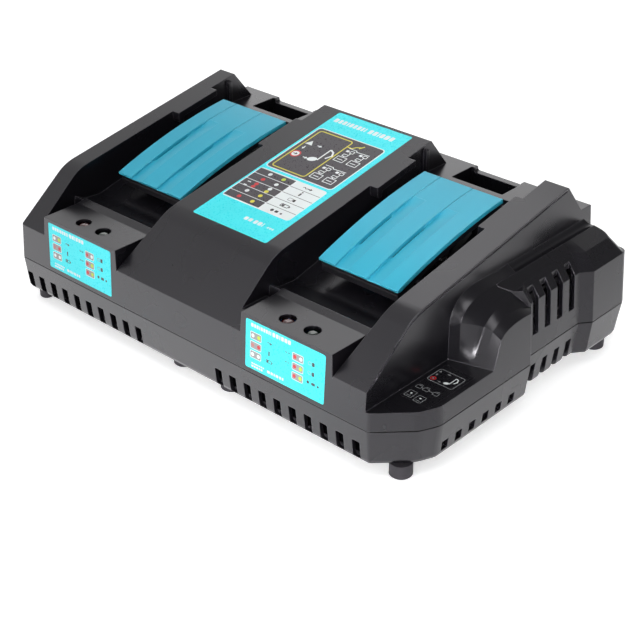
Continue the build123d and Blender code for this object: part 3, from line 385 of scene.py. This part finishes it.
class Print:
    """Ink shapes laid on one label film, built as one mesh of thin closed prisms.

    A point is (u, v) in millimetres, along X and up the film. A higher layer lies over a lower one.
    """

    def __init__(self, origin, v_axis, normal):
        self.origin = Vector(origin)
        self.v_axis = Vector(v_axis)
        self.normal = Vector(normal)
        self.build = bmesh.new()
        self.inks = []

    def corners(self, points, height):
        """Vertices over the points at a height over the film."""
        places = [self.origin + Vector((u, 0, 0)) + self.v_axis * v + self.normal * height for u, v in points]
        return [self.build.verts.new(place * MM) for place in places]

    def low_and_high(self, points, layer):
        """Vertices at the foot and at the top of an ink."""
        return self.corners(points, ink_foot), self.corners(points, ink_top + layer_step * layer)

    def join(self, first, second):
        """Band of faces between two loops of as many vertices."""
        sides = zip(first, first[1:] + first[:1], second[1:] + second[:1], second)
        return [self.build.faces.new(side) for side in sides]

    def colour(self, faces, ink):
        """Gives faces their ink."""
        if ink not in self.inks:
            self.inks.append(ink)
        for face in faces:
            face.material_index = self.inks.index(ink)

    def shape(self, points, ink, layer=1):
        """Filled outline."""
        low, high = self.low_and_high(points, layer)
        caps = [self.build.faces.new(high), self.build.faces.new(low[::-1])]
        self.colour(self.join(low, high) + caps, ink)

    def ring(self, outer, inner, ink, layer=1):
        """Band between two outlines of as many points."""
        low_out, high_out = self.low_and_high(outer, layer)
        low_in, high_in = self.low_and_high(inner, layer)
        for first, second in ((low_out, high_out), (high_out, high_in), (high_in, low_in), (low_in, low_out)):
            self.colour(self.join(first, second), ink)

    def box(self, u0, v0, u1, v1, ink, layer=1, radius=0.0):
        """Filled rectangle."""
        self.shape(rounded(u0, v0, u1, v1, radius), ink, layer)

    def frame(self, u0, v0, u1, v1, width, ink, layer, radius):
        """Outline of a rectangle, as a line of the given width."""
        inner = rounded(u0 + width, v0 + width, u1 - width, v1 - width, max(radius - width, 0.1))
        self.ring(rounded(u0, v0, u1, v1, radius), inner, ink, layer)

    def dot(self, u, v, radius, ink, layer=1):
        """Filled circle."""
        self.shape(circle(u, v, radius), ink, layer)

    def stroke(self, points, width, ink, layer=1):
        """Line of even width through the points."""
        left, right = [], []
        for i, point in enumerate(points):
            here = Vector(point)
            before = (here - Vector(points[i - 1])).normalized() if i else None
            after = (Vector(points[i + 1]) - here).normalized() if i + 1 < len(points) else None
            along = ((before or after) + (after or before)).normalized()
            side = Vector((-along.y, along.x))
            reach = width / 2 / max(abs(along.dot(after or before)), sharpest_bend)
            left.append(tuple(here + side * reach))
            right.append(tuple(here - side * reach))
        self.shape(right + left[::-1], ink, layer)

    def arrow(self, tail, head, ink, layer, size):
        """Straight arrow with a head of the given length."""
        tail, head = Vector(tail), Vector(head)
        along = (head - tail).normalized()
        side = Vector((-along.y, along.x))
        neck = head - along * size
        shaft, barb = side * size * 0.18, side * size * 0.62
        outline = [tail + shaft, tail - shaft, neck - shaft, neck - barb, head, neck + barb, neck + shaft]
        self.shape([tuple(p) for p in outline], ink, layer)

    def finish(self, name):
        """Makes one piece of the shapes, which rides on the charger."""
        bmesh.ops.recalc_face_normals(self.build, faces=self.build.faces)
        piece = add_object(name, self.build)
        for ink in self.inks:
            piece.data.materials.append(ink)
        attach(piece, "charger")


def rounded(u0, v0, u1, v1, radius):
    """Corner points of a rectangle with rounded corners, counter-clockwise."""
    if radius <= 0:
        return [(u0, v0), (u1, v0), (u1, v1), (u0, v1)]
    points = []
    for u, v, start in ((u1, v0, -90), (u1, v1, 0), (u0, v1, 90), (u0, v0, 180)):
        centre_u = u - radius if u == u1 else u + radius
        centre_v = v - radius if v == v1 else v + radius
        for step in range(corner_steps + 1):
            turn = math.radians(start + 90 / corner_steps * step)
            points.append((centre_u + radius * math.cos(turn), centre_v + radius * math.sin(turn)))
    return points


def circle(u, v, radius, count=20, squash=1.0, tilt=0.0):
    """Points of a circle, or of one that is squashed and then tilted."""
    points = []
    for i in range(count):
        turn = 2 * math.pi * i / count
        a, b = radius * math.cos(turn), radius * squash * math.sin(turn)
        points.append((
            u + a * math.cos(tilt) - b * math.sin(tilt),
            v + a * math.sin(tilt) + b * math.cos(tilt),
        ))
    return points


ink_white = print_ink("white_ink", srgb(232, 238, 238), roughness=0.34)
ink_dark = print_ink("dark_ink", srgb(66, 62, 68), roughness=0.32)
ink_black = print_ink("black_ink", srgb(26, 25, 29), roughness=0.32)
ink_yellow = print_ink("yellow_ink", srgb(222, 214, 70), roughness=0.34)
ink_lime = print_ink("lime_ink", srgb(196, 214, 60), roughness=0.34)
ink_red = print_ink("red_ink", srgb(206, 48, 52), roughness=0.34)
ink_grey = print_ink("grey_ink", srgb(150, 152, 154), roughness=0.34)
ink_rose = print_ink("rose_ink", srgb(190, 120, 120), roughness=0.34)


def battery_sign(label, u, v, size, ink, layer):
    """Small outline of a battery with its pole."""
    half = size * 0.45
    label.frame(u - size, v - half, u + size, v + half, size * 0.16, ink, layer, size * 0.2)
    label.box(u + size * 1.05, v - size * 0.2, u + size * 1.25, v + size * 0.2, ink, layer)
    label.box(u - size * 0.7, v - size * 0.25, u - size * 0.1, v + size * 0.25, ink, layer)


def music_note(label, head, stem_top, flag, size, ink, layer):
    """Note with a slanted head, a stem and a flag."""
    label.shape(circle(head[0], head[1], size, 20, 0.68, 0.45), ink, layer)
    label.stroke([(stem_top[0], head[1] + size * 0.2), stem_top], size * 0.3, ink, layer)
    label.stroke([stem_top] + flag, size * 0.36, ink, layer)


def bars(label, u, v, widths, height, ink, space=0.9):
    """Row of plain bars, which stand in for words."""
    for width in widths:
        label.box(u, v - height / 2, u + width, v + height / 2, ink, radius=min(width, height) * 0.3)
        u += width + space


# Large sheet on the sloping top of the centre block, measured down from its rear edge
ridge_y, ridge_z = 70.9, 107.0
slope_front_y, slope_front_z = -66.0, 82.5
slope = math.atan((ridge_z - slope_front_z) / (ridge_y - slope_front_y))
slope_up = (0, math.cos(slope), math.sin(slope))
slope_out = (0, -math.sin(slope), math.cos(slope))
top = Print((0, ridge_y, ridge_z), slope_up, slope_out)
# Dark picture field with a white rim, a yellow frame and its cord
top.box(-40.6, -74.0, 13.6, -22.9, ink_white, 1, 3.0)
top.box(-39.8, -73.2, 12.8, -23.7, ink_dark, 2, 2.3)
top.frame(-37.6, -71.7, -10.0, -25.6, 0.85, ink_yellow, 3, 2.4)
top.stroke([(-10.3, -32.0), (-6.4, -32.0), (-4.8, -29.6), (-1.5, -28.2)], 0.8, ink_yellow, 3)
top.stroke([(-2.6, -30.0), (-0.6, -26.6)], 1.0, ink_yellow, 3)
# Signs within the yellow frame
top.shape([(-36.2, -42.2), (-30.6, -42.2), (-33.4, -37.6)], ink_white, 3)
top.arrow((-33.6, -44.4), (-33.6, -48.0), ink_white, 3, 1.9)
top.arrow((-27.2, -40.4), (-23.6, -40.4), ink_white, 3, 1.9)
top.arrow((-26.6, -54.6), (-22.9, -54.6), ink_white, 3, 1.9)
top.dot(-33.2, -54.1, 3.0, ink_white, 3)
top.ring(circle(-33.2, -54.1, 3.6), circle(-33.2, -54.1, 2.6), ink_red, 4)
top.arrow((-34.9, -54.1), (-31.4, -54.1), ink_dark, 4, 2.0)
music_note(
    top, (-19.9, -53.6), (-16.5, -39.8), [(-13.2, -41.6), (-11.4, -45.0), (-13.4, -49.2)], 3.3, ink_white, 3
)
# Four chargers with their batteries and wires
for shelf in (-48.8, -70.4):
    for column in (-8.6, 1.8):
        top.frame(column, shelf + 1.0, column + 7.6, shelf + 6.6, 0.55, ink_white, 3, 0.5)
        top.frame(column + 1.6, shelf + 7.4, column + 5.6, shelf + 10.0, 0.5, ink_white, 3, 0.4)
        top.stroke([(column + 3.6, shelf + 6.4), (column + 3.6, shelf + 7.6)], 0.6, ink_white, 3)
        top.stroke([(column + 1.6, shelf + 3.6), (column + 5.8, shelf + 3.6)], 0.6, ink_white, 3)
        top.box(column + 0.8, shelf + 12.2, column + 3.0, shelf + 14.2, ink_white, 3, 0.4)
        top.frame(column + 3.8, shelf + 11.8, column + 7.0, shelf + 14.6, 0.5, ink_white, 3, 0.5)
        top.stroke([(column + 5.4, shelf + 9.8), (column + 5.4, shelf + 12.0)], 0.5, ink_white, 3)
    wire = [(-8.0, shelf + 16.2), (-2.0, shelf + 16.2), (-1.0, shelf + 15.0), (8.6, shelf + 15.6)]
    top.stroke(wire, 0.55, ink_white, 3)
# Table of the lamps' signals: a dark cell with a red and a green lamp's dots at the left of each row
rows = (-76.9, -82.9, -89.8, -96.5, -103.6, -110.2)
lamp_columns = (-30.0, -19.0)
lamp_marks = (
    (((-79.9, ink_white),), ((-79.9, ink_lime),)),
    (((-86.3, ink_red),), ((-86.3, ink_white),)),
    (((-91.9, ink_red), (-94.9, ink_red)), ((-91.8, ink_white), (-94.9, ink_yellow))),
    (((-100.1, ink_white),), ((-100.1, ink_yellow),)),
    (((-106.9, ink_red),), ((-106.9, ink_yellow),)),
)
top.box(-40.9, -110.9, 13.4, -76.2, ink_white, 1, 2.2)
for row_top, row_foot, marks in zip(rows[:-1], rows[1:], lamp_marks):
    top.box(-40.2, row_foot + 0.25, -11.2, row_top - 0.25, ink_dark, 2, 0.4)
    for u, column_marks in zip(lamp_columns, marks):
        for v, ink in column_marks:
            top.dot(u, v, 1.45, ink, 3)
# Lines between the rows, and dashes beside the dots of the third row
for edge in rows[1:-1]:
    top.box(-10.7, edge - 0.17, 12.8, edge + 0.17, ink_dark, 2)
top.box(-37.0, -92.6, -34.4, -91.8, ink_white, 3)
top.box(-37.0, -96.2, -34.4, -95.4, ink_white, 3)
# Signs at the right of each row: a wave with an arrow, a bar with a dot, a plug, a battery and three marks
top.stroke([(-3.2, -79.9), (-1.8, -79.2), (-0.6, -80.4), (0.6, -79.6)], 0.5, ink_dark, 2)
top.arrow((0.6, -79.8), (4.2, -79.8), ink_dark, 2, 1.8)
top.box(0.0, -88.2, 1.2, -85.4, ink_black, 2, 0.3)
top.dot(0.6, -84.4, 0.6, ink_black, 2)
top.frame(-2.6, -94.9, 1.0, -92.1, 0.45, ink_grey, 2, 0.6)
top.box(1.2, -94.6, 3.0, -92.4, ink_black, 2, 0.3)
battery_sign(top, 0.8, -100.2, 3.2, ink_black, 2)
top.dot(-2.7, -107.2, 1.2, ink_black, 2)
top.box(-0.4, -108.2, 2.0, -106.2, ink_black, 2, 0.5)
top.dot(4.6, -107.5, 0.8, ink_dark, 2)
# Bars in place of the title and, at the foot, of the fine print
bars(top, -38.6, -11.2, (3.0, 2.2, 2.6, 1.2, 2.4, 2.2, 2.4, 1.6, 1.0), 4.2, ink_white)
bars(top, -10.4, -11.2, (2.8, 2.8, 1.0, 2.8, 3.0, 2.8), 4.6, ink_white)
bars(top, -11.0, -121.4, (2.6, 2.6), 3.0, ink_white, space=0.8)
bars(top, -3.4, -121.4, (2.4, 2.6, 0.8), 3.4, ink_white, space=0.8)
bars(top, 7.4, -121.8, (1.2, 1.2, 1.2), 1.6, ink_white, space=0.6)
top.finish("centre_label_print")

# Small sheets on the leaning faces of the lamp blocks, above the joint of the housing
sheet_y, sheet_z = -104.0, 31.2
lean = math.radians(3.5)
sheet_up = (0, math.sin(lean), math.cos(lean))
sheet_out = (0, -math.cos(lean), math.sin(lean))
# Two columns of lamp pairs: the places of both lamps along the sheet, and each row's height and inks
lamp_pairs = (
    ((-25.6, -21.2), ((23.4, ink_white, ink_lime), (17.6, ink_rose, ink_red), (11.9, ink_white, ink_white))),
    ((5.4, 9.6), ((22.9, ink_red, ink_white), (17.0, ink_red, ink_lime), (11.2, ink_red, ink_lime))),
)
for side, bay_x in (("left", -96.3), ("right", 73.7)):
    sheet = Print((bay_x, sheet_y, sheet_z), sheet_up, sheet_out)
    for (left_u, right_u), lines in lamp_pairs:
        for v, first, second in lines:
            sheet.box(left_u - 2.0, v - 2.35, right_u + 2.0, v + 2.35, ink_white, 1, 0.9)
            sheet.box(left_u - 1.65, v - 2.0, right_u + 1.65, v + 2.0, ink_grey, 2, 0.7)
            sheet.dot(left_u, v, 1.15, first, 3)
            sheet.dot(right_u, v, 1.15, second, 3)
    # Signs beside the lamp pairs
    sheet.stroke([(-15.0, 23.1), (-13.8, 23.6), (-12.9, 22.9)], 0.4, ink_dark)
    sheet.arrow((-13.6, 23.2), (-11.2, 23.2), ink_dark, 1, 1.4)
    sheet.box(-13.9, 15.6, -12.9, 18.4, ink_dark, 1, 0.3)
    battery_sign(sheet, -13.4, 12.0, 2.2, ink_dark, 1)
    for v in (23.2, 17.3):
        sheet.box(-1.6, v - 0.25, -0.2, v + 0.25, ink_dark)
        sheet.box(0.3, v - 0.25, 1.7, v + 0.25, ink_dark)
    for v in (23.3, 17.5):
        sheet.frame(14.8, v - 1.0, 17.2, v + 1.0, 0.3, ink_grey, 1, 0.5)
        sheet.box(17.6, v - 1.2, 19.4, v + 1.2, ink_dark, 1, 0.4)
    sheet.dot(15.2, 11.7, 0.9, ink_dark)
    sheet.box(17.6, 10.8, 20.2, 12.5, ink_dark, 1, 0.4)
    sheet.dot(22.3, 11.5, 0.7, ink_dark)
    # Bars in place of the title and of the fine print
    bars(sheet, -27.2, 29.6, (1.9, 1.3, 1.5, 0.7, 1.4, 1.3, 1.4, 0.9, 0.6), 2.2, ink_white, space=0.5)
    bars(sheet, -11.2, 29.6, (1.9, 1.9, 0.7, 1.9, 2.0, 1.9), 2.5, ink_white, space=0.6)
    bars(sheet, -26.4, 6.3, (1.2, 1.0, 1.2, 0.8, 1.1, 1.2, 0.9), 0.9, ink_white, space=0.35)
    bars(sheet, -26.4, 4.6, (1.6, 1.2, 1.7, 1.0, 1.4), 1.2, ink_white, space=0.4)
    bars(sheet, -14.6, 5.6, (2.2, 1.6, 0.9, 2.0, 1.4, 1.2), 1.7, ink_white, space=0.6)
    sheet.finish(f"{side}_front_label_print")

# Dark panel on the side pan
pan_z = 42.0
panel = Print((0, 0, pan_z), (0, 1, 0), (0, 0, 1))
panel.frame(131.7, -57.8, 148.6, -44.8, 0.32, ink_grey, 1, 1.6)
panel.ring(circle(134.4, -55.0, 1.7, 16), circle(134.4, -55.0, 1.1, 16), ink_red)
panel.dot(134.4, -55.0, 0.6, ink_grey)
panel.arrow((133.6, -51.9), (133.6, -49.9), ink_grey, 1, 1.1)
panel.shape([(132.7, -47.9), (134.3, -47.9), (133.5, -46.3)], ink_grey)
panel.arrow((137.9, -47.0), (139.9, -47.0), ink_grey, 1, 1.1)
panel.arrow((137.9, -55.6), (139.9, -55.6), ink_grey, 1, 1.1)
music_note(
    panel, (142.6, -54.6), (144.2, -47.4), [(145.8, -48.2), (146.6, -50.2), (145.8, -52.4)], 1.6, ink_white, 1
)
for column in (132.2, 136.8, 143.2):
    panel.frame(column, -67.8, column + 3.6, -65.0, 0.28, ink_grey, 1, 0.5)
    panel.stroke([(column + 0.6, -64.4), (column + 3.0, -64.0)], 0.3, ink_grey)
panel.stroke([(135.8, -66.4), (136.8, -66.4)], 0.3, ink_grey)
panel.stroke([(140.4, -66.4), (143.2, -66.4)], 0.3, ink_grey)
for left_u, low_v in ((132.4, -77.6), (139.2, -78.6)):
    panel.frame(left_u, low_v, left_u + 5.0, low_v + 6.2, 0.25, ink_grey, 1, 0.6)
    panel.dot(left_u + 2.5, low_v + 3.8, 0.6, ink_white)
    panel.stroke([(left_u + 1.2, low_v + 1.4), (left_u + 3.8, low_v + 1.4)], 0.3, ink_grey)
panel.finish("side_label_print")

# ---------------------------------------------------------------- floor
floor_reach = 6.0
floor_lift = 0.5
# Lift of the floor in a reflection, at the left and at the right of the stretch over which it fades
mirrored_lift = (0.85, 0.05)
mirrored_x = (0.02, 0.26)

build = bmesh.new()
bmesh.ops.create_grid(build, x_segments=1, y_segments=1, size=floor_reach)
floor = add_object("floor", build)
paper = Nodes("studio_floor")
rays = paper.add("ShaderNodeLightPath").outputs
# Seen directly or through a lens, the floor is lifted to white, and it keeps the shadow
mirrored = paper.remap(paper.along("X", paper.place), *mirrored_lift, *mirrored_x)
lift = paper.largest(
    paper.math("MULTIPLY", rays["Is Camera Ray"], floor_lift),
    paper.math("MULTIPLY", rays["Is Transmission Ray"], floor_lift),
    paper.math("MULTIPLY", rays["Is Glossy Ray"], mirrored),
)
patches = paper.remap(paper.noise(3.0), 0.0, 1.0)
floor.data.materials.append(paper.paint({
    "Base Color": paper.mix(patches, srgb(252, 252, 253), srgb(254, 254, 255)),
    "Roughness": 0.8,
    "Emission Color": WHITE,
    "Emission Strength": lift,
}))

# ---------------------------------------------------------------- camera, fitted to points of the photograph
camera_lens = 78.85
camera_sensor = 36.0
camera_place = (0.5103, -0.5542, 0.4444)
camera_down, camera_roll, camera_turn = 30.519, 0.075, 42.425

camera_data = bpy.data.cameras.new("camera")
camera_data.lens = camera_lens
camera_data.sensor_width = camera_sensor
camera = bpy.data.objects.new("camera", camera_data)
camera.location = camera_place
camera.rotation_euler = (math.radians(90 - camera_down), math.radians(camera_roll), math.radians(camera_turn))
scene.collection.objects.link(camera)
scene.camera = camera

# ---------------------------------------------------------------- world
# Strengths that the object's matt surfaces and its reflections see, while the camera sees white
world_light = 0.36
studio_left, studio_right = 0.60, 0.12
studio_x = (-0.6, 0.2)
window_direction = (-0.55, 0.78, 0.30)
window_limits = (0.88, 0.97)
window_light = 1.5

world = bpy.data.worlds.new("studio")
scene.world = world
world.use_nodes = True
studio = Tree(world.node_tree)
direction = studio.add("ShaderNodeTexCoord").outputs["Generated"]
rays = studio.add("ShaderNodeLightPath").outputs
# Reflections see a studio that dims from left to right, with a bright window low behind on the left
walls = studio.remap(studio.along("X", direction), studio_left, studio_right, *studio_x)
window = studio.remap(studio.dot(direction, window_direction), 0.0, window_light, *window_limits)
lighting = studio.mix(rays["Is Glossy Ray"], world_light, studio.largest(walls, window), "FLOAT")
strength = studio.largest(lighting, rays["Is Camera Ray"], rays["Is Transmission Ray"])
background = world.node_tree.nodes["Background"]
studio.feed(WHITE, background.inputs["Color"])
studio.feed(strength, background.inputs["Strength"])
scene.view_settings.view_transform = "Standard"


# ---------------------------------------------------------------- lamps
def soft_light(name, place, target, size, power, spread=math.pi):
    """Soft rectangular lamp aimed at a point."""
    data = bpy.data.lights.new(name, "AREA")
    data.shape = "RECTANGLE"
    data.size, data.size_y = size
    data.energy = power
    data.spread = spread
    lamp = bpy.data.objects.new(name, data)
    lamp.location = place
    lamp.rotation_euler = (Vector(target) - Vector(place)).to_track_quat("-Z", "Y").to_euler()
    scene.collection.objects.link(lamp)


soft_light("key", place=(-0.55, -1.45, 0.95), target=(0.0, 0.0, 0.05), size=(1.7, 1.2), power=8.5)
soft_light("overhead", place=(0.25, -0.35, 1.9), target=(0.05, 0.0, 0.0), size=(1.2, 1.0), power=9.0)
# Narrow beam for the highlight on the shoulder beside the pan
soft_light(
    "glint", place=(0.68, -0.99, 0.27), target=(0.14, -0.03, 0.055), size=(0.36, 0.50), power=0.50,
    spread=math.radians(22.0),
)
soft_light("rear", place=(-0.36, 0.42, 0.76), target=(0.05, 0.06, 0.10), size=(0.34, 0.22), power=0.35)
